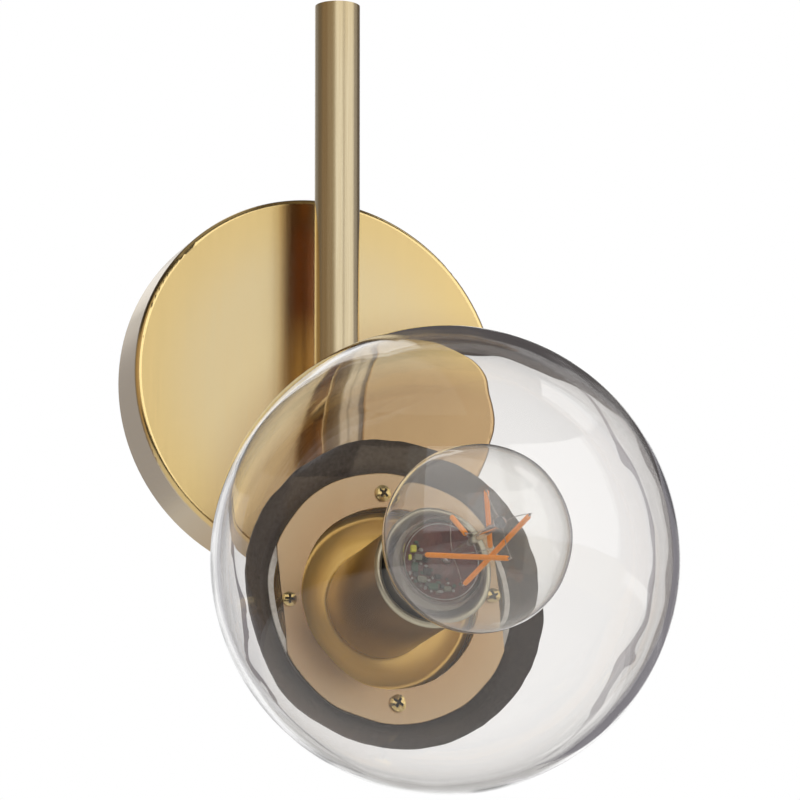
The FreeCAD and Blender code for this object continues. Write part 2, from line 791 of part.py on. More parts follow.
holder_parts = {
    "arm_nipple": nipple(stem_front - nipple_grip, bracket_back + bracket_collar_length),
    "arm_sleeve": make_sleeve(),
    "holder_cap": make_holder(),
    "socket_cup": make_cup(),
    "holder_washer": washer(holder_washer_back),
    "holder_nut": hexagon_nut(holder_nut_back),
    "lampholder_bracket": make_bracket(),
    "lampholder_body": make_body(),
    "lampholder_shell": make_screw_shell(),
    "lampholder_leaf": make_leaf(),
    "terminal_screws": make_terminal_screws(),
    "lamp_shell": make_lamp_shell(),
    "lamp_insulator": make_lamp_insulator(),
    "lamp_tip": make_lamp_tip(),
    "lamp_glass": make_lamp_glass(),
    "lamp_board": make_board(),
    "lamp_stem": make_lamp_stem(),
    "lamp_filaments": make_filaments(),
    "lamp_leads": make_leads(),
}

parts = {
    "crossbar": make_strap(),
    "ground_screw": make_ground_screw(),
    "canopy": make_canopy(),
    "canopy_screws": make_rim_screws(),
    "canopy_nipple": nipple(canopy_nut_back - nipple_end_length, stem_back + nipple_grip),
    "canopy_washer": washer(canopy_nut_back + nut_height),
    "canopy_nut": hexagon_nut(canopy_nut_back),
    "standoff_post": make_post(),
    "stem_tube": make_stem(),
    "stem_top_plug": make_plug(True),
    "stem_bottom_plug": make_plug(False),
    "stem_insert_upper": make_insert(0, False),
    "stem_insert_lower": make_insert(-shade_drop, True),
}
for name, shape in shade_parts.items():
    parts[name] = on_shade_axis(turned(shape, shade_turn))
for name, shape in holder_parts.items():
    parts[name] = on_shade_axis(shape)

for name, shape in parts.items():
    shape.exportStep("parts/" + name + ".step")
    print(name, len(shape.Solids), round(shape.Volume), shape.isValid())
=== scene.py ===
import math

import bmesh
import bpy
from mathutils import Matrix, Vector, noise


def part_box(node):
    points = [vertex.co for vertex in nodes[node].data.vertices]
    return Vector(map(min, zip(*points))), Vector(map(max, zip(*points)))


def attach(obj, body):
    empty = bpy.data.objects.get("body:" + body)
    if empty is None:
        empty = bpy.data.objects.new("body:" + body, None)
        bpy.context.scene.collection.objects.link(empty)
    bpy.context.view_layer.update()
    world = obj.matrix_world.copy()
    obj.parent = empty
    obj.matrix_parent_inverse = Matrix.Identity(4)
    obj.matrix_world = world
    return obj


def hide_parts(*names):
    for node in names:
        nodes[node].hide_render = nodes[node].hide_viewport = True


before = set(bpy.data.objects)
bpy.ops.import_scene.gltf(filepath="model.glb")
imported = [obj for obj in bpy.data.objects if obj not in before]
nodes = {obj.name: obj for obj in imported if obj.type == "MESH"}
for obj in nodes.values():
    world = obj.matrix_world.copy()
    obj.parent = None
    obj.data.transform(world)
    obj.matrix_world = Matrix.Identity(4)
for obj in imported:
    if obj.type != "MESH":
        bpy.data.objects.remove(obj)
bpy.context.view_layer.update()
mm = 0.001
# the lamp, its holder and the globe share one axis, at this height
shadeAxisHeight = (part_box("lamp_tip")[0].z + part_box("lamp_tip")[1].z) / 2


# Small tools

def linear(hexColour):
    channels = [int(hexColour[i:i + 2], 16) / 255 for i in (1, 3, 5)]
    return tuple(c / 12.92 if c <= 0.04045 else ((c + 0.055) / 1.055) ** 2.4 for c in channels) + (1.0,)


def addNode(tree, kind, settings, links=()):
    # settings sets a node's own fields by name and its sockets by name or number,
    # links joins (from node, its output, this node's input)
    node = tree.nodes.new(kind)
    for key, value in settings.items():
        if isinstance(key, str) and hasattr(node, key):
            setattr(node, key, value)
        else:
            node.inputs[key].default_value = value
    for source, output, target in links:
        tree.links.new(source.outputs[output], node.inputs[target])
    return node


def startMaterial(name):
    material = bpy.data.materials.new(name)
    material.use_nodes = True
    material.node_tree.nodes.clear()
    return material, material.node_tree


def endMaterial(tree, shader, output="BSDF"):
    addNode(tree, "ShaderNodeOutputMaterial", {}, [(shader, output, "Surface")])


def placed(name, data):
    piece = bpy.data.objects.new(name, data)
    bpy.context.scene.collection.objects.link(piece)
    return piece


def meshPiece(name, vertices, faces, smooth=True):
    mesh = bpy.data.meshes.new(name)
    mesh.from_pydata(vertices, [], faces)
    mesh.validate()
    mesh.shade_smooth() if smooth else mesh.shade_flat()
    return placed(name, mesh)


def finishPiece(piece, body, slot, material, *replaced):
    # material may be a list, whose later ones are for faces with a material number of their own
    several = isinstance(material, list)
    numbers = [face.material_index if several else 0 for face in piece.data.polygons]
    piece.data.materials.clear()
    for one in material if several else [material]:
        piece.data.materials.append(one)
    piece.data.polygons.foreach_set("material_index", numbers)
    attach(piece, body)
    if replaced:
        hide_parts(*replaced)
    return piece


def joined(name, pieces):
    # one piece made of several meshes
    whole = bmesh.new()
    for piece in pieces:
        piece.data.transform(piece.matrix_world)
        whole.from_mesh(piece.data)
    mesh = bpy.data.meshes.new(name)
    whole.to_mesh(mesh)
    whole.free()
    for piece in pieces:
        bpy.data.objects.remove(piece)
    return placed(name, mesh)


def smoothBy(piece, degrees=60):
    # rounds the shading of shallow edges only
    piece.data.shade_smooth()
    sharp = bmesh.new()
    sharp.from_mesh(piece.data)
    for edge in sharp.edges:
        edge.smooth = len(edge.link_faces) == 2 and edge.calc_face_angle(0) < math.radians(degrees)
    sharp.to_mesh(piece.data)
    sharp.free()
    return piece


def spun(name, outline, steps, closed=True):
    # turns an outline of (radius, depth) in metres about the Y axis
    vertices, faces = [], []
    count = len(outline)
    for step in range(steps):
        turn = 2 * math.pi * step / steps
        for radius, depth in outline:
            vertices.append((radius * math.cos(turn), -depth, radius * math.sin(turn)))
    last = count if closed else count - 1
    for step in range(steps):
        here, there = step * count, (step + 1) % steps * count
        for i in range(last):
            after = (i + 1) % count
            faces.append((here + i, here + after, there + after, there + i))
    return meshPiece(name, vertices, faces)


def cleaned(piece):
    # merges what meets on the axis and turns every face outward
    work = bmesh.new()
    work.from_mesh(piece.data)
    bmesh.ops.remove_doubles(work, verts=work.verts, dist=1e-7)
    bmesh.ops.dissolve_degenerate(work, edges=work.edges, dist=1e-8)
    bmesh.ops.recalc_face_normals(work, faces=work.faces)
    work.to_mesh(piece.data)
    work.free()
    return piece


def toShadeAxis(piece):
    piece.data.transform(Matrix.Translation((0, 0, shadeAxisHeight)))
    return piece


def tube(name, points, radius, sides=12):
    # a round wire or rod along points, with rounded ends
    rings = []
    for i, point in enumerate(points):
        along = (points[min(i + 1, len(points) - 1)] - points[max(i - 1, 0)]).normalized()
        rings.append((point, along, radius))
    first, last = rings[0], rings[-1]
    for angle in (30, 60, 85):  # the rings of each rounded end
        lean = math.radians(angle)
        back, slim = radius * math.sin(lean), radius * math.cos(lean)
        rings.insert(0, (first[0] - first[1] * back, first[1], slim))
        rings.append((last[0] + last[1] * back, last[1], slim))
    vertices, faces = [], []
    side = rings[0][1].orthogonal().normalized()
    for point, along, thick in rings:
        side = (side - along * side.dot(along)).normalized()
        other = along.cross(side)
        for k in range(sides):
            turn = 2 * math.pi * k / sides
            vertices.append(tuple(point + thick * (math.cos(turn) * side + math.sin(turn) * other)))
    for i in range(len(rings) - 1):
        for k in range(sides):
            a, b = i * sides + k, i * sides + (k + 1) % sides
            faces.append((a, b, b + sides, a + sides))
    faces.append(tuple(range(sides))[::-1])
    faces.append(tuple(range((len(rings) - 1) * sides, len(rings) * sides)))
    return meshPiece(name, vertices, faces)


print("frame loaded:", len(nodes), "nodes")


# Camera

cameraSet = {"place": (-1.3377, -4.2086, -1.0974), "lookAt": (0.02732, -0.060, -0.01321),
             "lens": 458.9, "sensorWidth": 36, "clip": (0.05, 60)}


def aimed(thing, place, target):
    thing.location = place
    thing.rotation_euler = (Vector(target) - Vector(place)).to_track_quat("-Z", "Y").to_euler()


def makeCamera(s):
    camera = placed("camera", bpy.data.cameras.new("camera"))
    aimed(camera, s["place"], s["lookAt"])
    camera.data.lens = s["lens"]
    camera.data.sensor_width = s["sensorWidth"]
    camera.data.clip_start, camera.data.clip_end = s["clip"]
    bpy.context.scene.camera = camera


makeCamera(cameraSet)
print("camera placed")


# Materials

# for each kind of surface: the noise values between which the shade comes in, and its share, those between
# which the gloss changes, and by how much, and the strength of the relief
surfaces = {
    "satin": {"toneSpan": (0.35, 0.8), "toneShare": 0.6, "glossSpan": (0.25, 0.75), "relief": 0.5,
              "metallic": 1.0},
    "turned": {"toneSpan": (0.35, 0.75), "glossSpan": (0.25, 0.75), "relief": 0.5},
    "metal": {"toneSpan": (0.35, 0.75), "toneShare": 1.0, "glossSpan": (0.3, 0.7), "gloss": (-0.05, 0.08),
              "relief": 0.3, "detail": 4.0, "metallic": 1.0},
    "solid": {"toneSpan": (0.35, 0.7), "toneShare": 1.0, "glossSpan": (0.3, 0.7), "gloss": (-0.04, 0.06),
              "relief": 0.5, "detail": 5.0, "metallic": 0.0},
}


def dressed(material, tree, grain, s, layers=()):
    # the tone, the roughness and the relief that one noise gives, with each layer's colour over the tone
    gloss = s["gloss"] if "gloss" in s else (-s["spread"] / 2, s["spread"] / 2)
    share = addNode(tree, "ShaderNodeMapRange", {1: s["toneSpan"][0], 2: s["toneSpan"][1],
                    4: s["toneShare"]}, [(grain, 0, 0)])
    tone = addNode(tree, "ShaderNodeMix", {"data_type": "RGBA", 6: linear(s["colour"]),
                   7: linear(s["shade"])}, [(share, 0, 0)])
    for cover, colour in layers:
        tone = addNode(tree, "ShaderNodeMix", {"data_type": "RGBA", 7: linear(colour)},
                       [(cover, 0, 0), (tone, 2, 6)])
    rough = addNode(tree, "ShaderNodeMapRange", {
        1: s["glossSpan"][0], 2: s["glossSpan"][1], 3: s["roughness"] + gloss[0],
        4: s["roughness"] + gloss[1]}, [(grain, 0, 0)])
    bump = addNode(tree, "ShaderNodeBump", {"Strength": s["relief"], "Distance": s["bumpMm"] * mm},
                   [(grain, 0, "Height")])
    shader = addNode(tree, "ShaderNodeBsdfPrincipled", {"Metallic": s["metallic"]},
                     [(tone, 2, "Base Color"), (rough, 0, "Roughness"), (bump, 0, "Normal")])
    endMaterial(tree, shader)
    return material


def fromAxis(tree, place, height):
    # a point's place beside an axis at this height, and how far off it is
    flat = addNode(tree, "ShaderNodeVectorMath", {"operation": "MULTIPLY_ADD", 1: (1, 0, 1),
                   2: (0, 0, -height)}, [(place, "Object", 0)])
    return flat, addNode(tree, "ShaderNodeVectorMath", {"operation": "LENGTH"}, [(flat, 0, 0)])


# brass sheet and tube, brushed with an abrasive belt and lacquered: a soft sheen in fine straight lines.
# The rim colour, toward a piece's edge between two radii in mm, is a painted reflection, and the side
# colour,
# on the edge itself, is painted too: a pale reflection on the canopy and a dark shade on the plate. lineMm
# is the lines' spacing, drawn coarser, since the real 0.1 mm is too fine to show
satinBrass = {
    "canopyBrass": {
        "colour": "#F4DFB0", "shade": "#E9D09C", "roughness": 0.19, "spread": 0.04, "lineMm": 0.8,
        "streakMm": 42, "bumpMm": 0.002, "height": 0.0, "paintedRimColour": "#F5D898", "paintedRimMm": (48, 84),
        "paintedSideColour": "#E6D6BC", "paintedSideMm": (84.1, 84.5),
        "globeShadowColour": "#D2B286", "globeShadowPlaceMm": (55, -75), "globeShadowMm": (120, 82)},
    "stemBrass": {
        "colour": "#CDBE9E", "shade": "#BCA982", "roughness": 0.25, "spread": 0.05, "lineMm": 0.7,
        "streakMm": 60, "bumpMm": 0.003, "height": 0.0, "paintedRimColour": "#C9B284", "paintedRimMm": (120, 240),
        "paintedSideColour": "#CDBE9E", "paintedSideMm": (300, 301),
        "backShadeColour": "#6A3A02", "backShadeMm": (-50.5, -48.0), "backShadeHeightMm": (4, 38, 92, 102),
        "globeShadowColour": "#AA977C", "globeShadowPlaceMm": (55, -75), "globeShadowMm": (104, 82)},
    "plateBrass": {
        "colour": "#C8A983", "shade": "#BC9870", "roughness": 0.24, "spread": 0.04, "lineMm": 0.8,
        "streakMm": 40, "bumpMm": 0.002, "height": shadeAxisHeight, "paintedRimColour": "#CCB28F",
        "paintedRimMm": (40, 60), "paintedSideColour": "#8A6A40", "paintedSideMm": (55.6, 55.9)},
}


def makeSatinBrass(name, s):
    material, tree = startMaterial(name)
    place = addNode(tree, "ShaderNodeTexCoord", {})
    fine = 1 / (s["lineMm"] * mm)
    stretch = addNode(tree, "ShaderNodeMapping", {"Scale": (fine, fine, 1 / (s["streakMm"] * mm))},
                      [(place, "Object", "Vector")])
    brush = addNode(tree, "ShaderNodeTexNoise", {"Scale": 1.0, "Detail": 3.0, "Roughness": 0.6},
                    [(stretch, 0, "Vector")])
    flat, radius = fromAxis(tree, place, s["height"])
    toRim = addNode(tree, "ShaderNodeMapRange", {"interpolation_type": "SMOOTHSTEP", 1: s["paintedRimMm"][0] * mm,
                    2: s["paintedRimMm"][1] * mm}, [(radius, "Value", 0)])
    toSide = addNode(tree, "ShaderNodeMapRange", {1: s["paintedSideMm"][0] * mm, 2: s["paintedSideMm"][1] * mm},
                     [(radius, "Value", 0)])
    layers = [(toRim, s["paintedRimColour"]), (toSide, s["paintedSideColour"])]
    if "globeShadowColour" in s:  # painted shadow of the globe: the brass behind it is browner
        x, z = s["globeShadowPlaceMm"]
        away = addNode(tree, "ShaderNodeVectorMath", {"operation": "DISTANCE", 1: (x * mm, 0, z * mm)},
                       [(flat, 0, 0)])
        globeShadowed = addNode(tree, "ShaderNodeMapRange", {"interpolation_type": "SMOOTHSTEP",
                         1: s["globeShadowMm"][0] * mm, 2: s["globeShadowMm"][1] * mm}, [(away, "Value", 0)])
        layers.append((globeShadowed, s["globeShadowColour"]))
    if "backShadeColour" in s:  # painted shade on the strip of the stem that faces the canopy
        parts = addNode(tree, "ShaderNodeSeparateXYZ", {}, [(place, "Object", 0)])
        behind = addNode(tree, "ShaderNodeMapRange", {1: s["backShadeMm"][0] * mm, 2: s["backShadeMm"][1] * mm},
                         [(parts, 1, 0)])
        foot, start, stop, top = [height * mm for height in s["backShadeHeightMm"]]
        above = addNode(tree, "ShaderNodeMapRange", {1: foot, 2: start}, [(parts, 2, 0)])
        below = addNode(tree, "ShaderNodeMapRange", {1: top, 2: stop}, [(parts, 2, 0)])
        facing = addNode(tree, "ShaderNodeMath", {"operation": "MULTIPLY"}, [(above, 0, 0), (below, 0, 1)])
        dark = addNode(tree, "ShaderNodeMath", {"operation": "MULTIPLY"}, [(behind, 0, 0), (facing, 0, 1)])
        layers.append((dark, s["backShadeColour"]))
    return dressed(material, tree, brush, s, layers)


# brass turned or spun on a lathe about the shade's axis, then lacquered: fine lines run round it, drawn
# coarser than the real 0.1 mm. Thick lacquer scatters a little light, which a metallic below 1 gives
latheBrass = {
    "holderBrass": {"colour": "#F8CC76", "shade": "#EEBE66", "roughness": 0.30, "spread": 0.04,
                    "lineMm": 1.4, "bumpMm": 0.001, "toneShare": 0.35, "metallic": 0.62},
    # the socket cup's brass is darker and greyer than the others as painted shade, and its lip is a painted
    # highlight
    "cupBrassShadeAndHighlight": {"colour": "#A38E70", "shade": "#937E61", "roughness": 0.30, "spread": 0.03,
                 "lineMm": 1.2, "bumpMm": 0.001, "toneShare": 0.3, "metallic": 1.0,
                 "lipHighlightColour": "#CBC4AC", "lipHighlightMm": 3.4, "lipHighlightBlend": 0.9},
    "postBrass": {"colour": "#CDBE9E", "shade": "#C0AE88", "roughness": 0.25, "spread": 0.03,
                  "lineMm": 0.5, "bumpMm": 0.0004, "toneShare": 0.3, "metallic": 1.0},
    "fitterBrass": {"colour": "#D9C190", "shade": "#C4A872", "roughness": 0.27, "spread": 0.06,
                    "lineMm": 0.9, "bumpMm": 0.002, "toneShare": 0.6, "metallic": 0.8},
}


def makeTurnedBrass(name, s):
    material, tree = startMaterial(name)
    place = addNode(tree, "ShaderNodeTexCoord", {})
    radius = fromAxis(tree, place, shadeAxisHeight)[1]
    parts = addNode(tree, "ShaderNodeSeparateXYZ", {}, [(place, "Object", 0)])
    section = addNode(tree, "ShaderNodeCombineXYZ", {}, [(radius, "Value", 0), (parts, 1, 1)])
    lathe = addNode(tree, "ShaderNodeTexNoise", {"Scale": 1 / (s["lineMm"] * mm), "Detail": 2.0},
                    [(section, 0, "Vector")])
    layers = []
    if "lipHighlightColour" in s:  # painted highlight: the rolled lip is paler
        mouth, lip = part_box("socket_cup")[0].y, s["lipHighlightMm"] * mm
        atLip = addNode(tree, "ShaderNodeMapRange", {1: mouth + lip, 2: mouth + lip * s["lipHighlightBlend"]},
                        [(parts, 1, 0)])
        layers.append((atLip, s["lipHighlightColour"]))
    return dressed(material, tree, lathe, s, layers)


def rows(table):
    # each row is the colour, the shade, the roughness, and the grain's size and height in mm
    return {name: dict(zip(("colour", "shade", "roughness", "grainMm", "bumpMm"), row))
            for name, row in table.items()}


metals = rows({
    # steel dipped in a bright zinc bath: cold grey, faintly clouded
    "zincPlatedSteel": ("#B9BBBC", "#A6A8AA", 0.36, 5.0, 0.01),
    # the same in a green passivate: an even, half glossy green
    "greenPassivatedSteel": ("#3E8B52", "#2A6B3C", 0.38, 2.0, 0.01),
    # brass bar as the lathe leaves it: yellow, with darker flecks
    "turnedBrass": ("#D8B777", "#B8914F", 0.30, 2.0, 0.01),
    # pressed brass under thin nickel: a warm grey that mirrors fairly sharply
    "nickelPlatedBrass": ("#CFCBC4", "#A9A49B", 0.22, 4.0, 0.01),
    # tin solder as it set: pale, dull and mottled
    "solderedTin": ("#B5B5B2", "#86867F", 0.42, 1.2, 0.01),
    # drawn nickel: smooth and slightly warm
    "nickelWire": ("#C8C0BA", "#9E958D", 0.25, 1.0, 0.01),
    # painted shade in a screw's punched recess: brown and dull
    "recessShadeBrass": ("#4A3A22", "#2A2014", 0.5, 1.0, 0.01),
    # brass turned and burnished: small yellow glints
    "burnishedBrass": ("#E0C88C", "#C2A25E", 0.17, 1.1, 0.01),
})
solids = rows({
    # rubber sheet, pressed: matt and dark, with a faint mottle
    "mouldedRubber": ("#5A5452", "#464241", 0.62, 1.6, 0.05),
    # porcelain, glazed and fired: a sharp gloss over a warm grey, darkened as painted shade
    "shadedPorcelain": ("#958C7E", "#857C6E", 0.14, 7.0, 0.02),
    # silicone cast in a ring: milky and soft
    "castSilicone": ("#CFCAC2", "#B9B3AA", 0.40, 3.0, 0.02),
    # black enamel fused into the lamp's base: deep and glossy
    "blackEnamel": ("#17161A", "#242228", 0.12, 2.0, 0.01),
    # silicone full of phosphor, laid over the diodes: an even orange with a fine grain
    "phosphorSilicone": ("#F8981C", "#F08A16", 0.55, 1.3, 0.06),
    # solder mask printed on a laminate: dark red and half glossy
    "solderMask": ("#5E2B25", "#3E1C18", 0.34, 2.4, 0.02),
    # fired ceramic with a dull end coat: an even grey
    "ceramicChip": ("#7A786A", "#4C5446", 0.42, 1.0, 0.02),
    # polyester tape wound round a coil: bright yellow and smooth
    "yellowTape": ("#C9C54A", "#A8A53A", 0.30, 1.5, 0.01),
    # dipped varnish: thick, glossy and dark green
    "greenVarnish": ("#3E5B46", "#26392D", 0.25, 1.0, 0.02),
    # epoxy moulded over a chip: nearly black, with a soft gloss
    "mouldedEpoxy": ("#2A2B29", "#1C1D1C", 0.28, 1.0, 0.02),
})


def makeGrained(name, s):
    material, tree = startMaterial(name)
    place = addNode(tree, "ShaderNodeTexCoord", {})
    grain = addNode(tree, "ShaderNodeTexNoise", {"Scale": 1 / (s["grainMm"] * mm), "Detail": s["detail"]},
                    [(place, "Object", "Vector")])
    return dressed(material, tree, grain, s)


# soda lime glass, blown: bright and clear, with slow waves. The lamp's has a faint film inside, so that
# its clear share is less
glasses = {
    "blownGlass": {"colour": "#FDFCFB", "ior": 1.50, "roughness": 0.0, "waveMm": 60, "bumpMm": 0.25,
                   "relief": 0.4, "clear": 1.0},
    "lampGlass": {"colour": "#FDFDFC", "ior": 1.40, "roughness": 0.0, "waveMm": 30, "bumpMm": 0.03,
                  "relief": 0.4, "clear": 0.97},
}


def makeGlass(name, s):
    # lamps' and diffuse light pass it straight, so that what stands inside isn't left in a hard shadow
    material, tree = startMaterial(name)
    place = addNode(tree, "ShaderNodeTexCoord", {})
    wave = addNode(tree, "ShaderNodeTexNoise", {"Scale": 1 / (s["waveMm"] * mm), "Detail": 1.0},
                   [(place, "Object", "Vector")])
    bump = addNode(tree, "ShaderNodeBump", {"Strength": s["relief"], "Distance": s["bumpMm"] * mm},
                   [(wave, 0, "Height")])
    shader = addNode(tree, "ShaderNodeBsdfPrincipled",
                     {"Base Color": linear(s["colour"]), "Roughness": s["roughness"], "IOR": s["ior"],
                      "Transmission Weight": s["clear"]}, [(bump, 0, "Normal")])
    clear = addNode(tree, "ShaderNodeBsdfTransparent", {"Color": linear(s["colour"])})
    path = addNode(tree, "ShaderNodeLightPath", {})
    lampsPass = addNode(tree, "ShaderNodeMixShader", {},
                        [(path, "Is Shadow Ray", 0), (shader, 0, 1), (clear, 0, 2)])
    allPass = addNode(tree, "ShaderNodeMixShader", {},
                      [(path, "Is Diffuse Ray", 0), (lampsPass, 0, 1), (clear, 0, 2)])
    endMaterial(tree, allPass, "Shader")
    return material


look = {name: makeGlass(name, s) for name, s in glasses.items()}
for make, kind, table in ((makeGrained, "metal", metals), (makeGrained, "solid", solids),
                          (makeSatinBrass, "satin", satinBrass), (makeTurnedBrass, "turned", latheBrass)):
    look.update({name: make(name, {**surfaces[kind], **s}) for name, s in table.items()})
print("materials made:", len(look))


# CAD nodes that keep their shape

nodeLooks = {
    "canopyBrass": ["canopy"],
    "stemBrass": ["stem_tube", "stem_top_plug", "stem_bottom_plug"],
    "postBrass": ["standoff_post", "arm_sleeve"],
    "plateBrass": ["clamp_plate"],
    "holderBrass": ["holder_cap"],
    "cupBrassShadeAndHighlight": ["socket_cup"],
    "fitterBrass": ["fitter_ring", "fitter_posts"],
    "zincPlatedSteel": ["crossbar", "canopy_washer", "canopy_nut", "holder_washer", "holder_nut",
                        "lampholder_bracket"],
    "turnedBrass": ["stem_insert_upper", "stem_insert_lower", "lampholder_leaf"],
    "shadedPorcelain": ["lampholder_body"],
    "castSilicone": ["inner_cushion"],
    "lampGlass": ["lamp_stem"],
    "blackEnamel": ["lamp_insulator"],
    "solderedTin": ["lamp_tip"],
}
for lookName, names in nodeLooks.items():
    for node in names:
        data = nodes[node].data
        data.materials.clear()
        data.materials.append(look[lookName])
print("CAD nodes dressed")


# Screws with a cross recess

# shares of the head's radius or height, apart from the point, which goes by the shank's radius. The recess
# narrows to floorTaper and widens to topTaper, each as shares of its width and its reach
screwShape = {
    "crown": 0.45, "underEdge": 0.97, "edgeRise": 0.1, "point": 0.8, "pointLength": 0.4,
    "recessWidth": 0.34, "recessReach": 0.74, "recessDepth": 0.7, "floorTaper": (0.8, 0.55),
    "topTaper": (1.1, 1.15), "cutterTop": 1.3, "recessFaces": 0.8, "skinMm": 0.02,
    "sides": 40, "crownRings": 8, "firstTurn": 0.5, "turnStep": 1.1, "smoothDegrees": 35,
}


def islands(node):
    # the separate solids of a node, each as a list of its corners
    work = bmesh.new()
    work.from_mesh(nodes[node].data)
    bmesh.ops.remove_doubles(work, verts=work.verts, dist=1e-6)
    left, found = dict.fromkeys(work.verts), []  # kept in order, so that each run gives the same
    while left:
        group, queue = [], [left.popitem()[0]]
        while queue:
            corner = queue.pop()
            group.append(corner.co.copy())
            for edge in corner.link_edges:
                other = edge.other_vert(corner)
                if other in left:
                    del left[other]
                    queue.append(other)
        found.append(group)
    work.free()
    return found


def crossCutter(name, headRadius, headHeight, s):
    vertices = []
    wide, reach = headRadius * s["recessWidth"] / 2, headRadius * s["recessReach"]
    floor, top = headHeight * (1 - s["recessDepth"]), headHeight * s["cutterTop"]
    for level, taper in ((floor, s["floorTaper"]), (top, s["topTaper"])):
        w, r = wide * taper[0], reach * taper[1]
        cross = ((w, r), (-w, r), (-w, w), (-r, w), (-r, -w), (-w, -w), (-w, -r), (w, -r), (w, -w),
                 (r, -w), (r, w), (w, w))
        vertices += [(a, -level, b) for a, b in cross]
    count = len(cross)
    faces = [tuple(range(count)), tuple(range(2 * count - 1, count - 1, -1))]
    faces += [(i, (i + 1) % count, count + (i + 1) % count, count + i) for i in range(count)]
    return cleaned(meshPiece(name, vertices, faces, smooth=False))


def crossScrew(name, headRadius, headHeight, shankRadius, length, turn, s):
    # the head stands from depth 0 toward the room, as in the CAD, and the recess is cut in it
    crown = headHeight * s["crown"]
    outline = [(0, -length), (shankRadius * s["point"], -length),
               (shankRadius, -length + shankRadius * s["pointLength"]), (shankRadius, 0),
               (headRadius * s["underEdge"], 0), (headRadius, headHeight * s["edgeRise"])]
    ball = (headRadius ** 2 + crown ** 2) / (2 * crown)
    for i in range(s["crownRings"] + 1):
        ring = headRadius * (1 - i / s["crownRings"])
        outline.append((ring, headHeight - ball + math.sqrt(ball ** 2 - ring ** 2)))
    head = cleaned(spun(name, outline, s["sides"]))
    cutter = crossCutter(name + "Cutter", headRadius, headHeight, s)
    cutter.data.transform(Matrix.Rotation(turn, 4, "Y"))
    cut = head.modifiers.new("recess", "BOOLEAN")
    cut.operation, cut.object, cut.solver = "DIFFERENCE", cutter, "EXACT"
    bpy.context.view_layer.update()
    shape = bpy.data.meshes.new_from_object(head.evaluated_get(bpy.context.evaluated_depsgraph_get()))
    head.modifiers.clear()
    head.data = shape
    skin = s["skinMm"] * mm
    for face in shape.polygons:  # the recess gets the second material
        off, depth = math.hypot(face.center.x, face.center.z), -face.center.y
        below = headHeight - skin - crown * (off / headRadius) ** 2
        if off < headRadius * s["recessFaces"] and 0 < depth < below:
            face.material_index = 1
    bpy.data.objects.remove(cutter)
    return head


# sizesMm are the head's radius, its height and the shank's radius. out is the way that the heads face, and
# without one each faces up or down, away from the canopy's middle
screws = {
    "clamp_screws": {"name": "clampScrews", "sizesMm": (3.6, 2.2, 1.9), "out": (0, -1, 0),
                     "body": "shade", "slot": "satin_brass", "look": "burnishedBrass"},
    "canopy_screws": {"name": "canopyScrews", "sizesMm": (4.0, 2.4, 1.9), "out": None,
                      "body": "fixture", "slot": "satin_brass", "look": "burnishedBrass"},
    "ground_screw": {"name": "groundScrew", "sizesMm": (4.0, 2.4, 1.9), "out": (0, -1, 0),
                     "body": "fixture", "slot": "green_screw", "look": "greenPassivatedSteel"},
    "terminal_screws": {"name": "terminalScrews", "sizesMm": (3.0, 2.0, 1.6), "out": (0, 1, 0),
                        "body": "fixture", "slot": "plated_steel", "look": "zincPlatedSteel"},
}


def makeScrews(node, s):
    # one screw for each of the node's solids, numbered by where they stand to a millimetre
    headRadius, headHeight, shankRadius = [size * mm for size in s["sizesMm"]]
    made = []
    found = sorted(islands(node), key=lambda group: (round(group[0].z, 3), round(group[0].x, 3)))
    for number, corners in enumerate(found):
        out = Vector(s["out"] or (0, 0, math.copysign(1, corners[0].z)))
        along = [c.dot(out) for c in corners]
        across = [c - out * c.dot(out) for c in corners]
        low = Vector([min(c[k] for c in across) for k in range(3)])
        high = Vector([max(c[k] for c in across) for k in range(3)])
        foot = (low + high) / 2 + out * (max(along) - headHeight)
        length = max(along) - min(along) - headHeight
        piece = crossScrew(s["name"] + str(number), headRadius, headHeight, shankRadius, length,
                           screwShape["firstTurn"] + screwShape["turnStep"] * number, screwShape)
        turn = Vector((0, -1, 0)).rotation_difference(out).to_matrix().to_4x4()
        piece.data.transform(Matrix.Translation(foot) @ turn)
        made.append(piece)
    whole = smoothBy(joined(s["name"], made), screwShape["smoothDegrees"])
    finishPiece(whole, s["body"], s["slot"], [look[s["look"]], look["recessShadeBrass"]], node)


for node, settings in screws.items():
    makeScrews(node, settings)
print("screws made")


# Threads

threadShape = {"steps": 72, "rowsPerPitch": 10, "leastRows": 12, "fadePitches": 0.6}
# wallMm is the sheet that a thread is rolled in; without one the bore is plain
threads = {
    "lamp_shell": {"pitchMm": 3.62, "depthMm": 0.7, "wallMm": 0.3, "body": "lamp",
                   "slot": "nickel_shell", "look": "nickelPlatedBrass"},
    "lampholder_shell": {"pitchMm": 3.62, "depthMm": 0.35, "wallMm": 0.3, "body": "fixture",
                         "slot": "nickel_shell", "look": "nickelPlatedBrass"},
    "canopy_nipple": {"pitchMm": 1.0, "depthMm": 0.5, "wallMm": None, "body": "fixture",
                      "slot": "plated_steel", "look": "zincPlatedSteel"},
}
threads["arm_nipple"] = threads["canopy_nipple"]


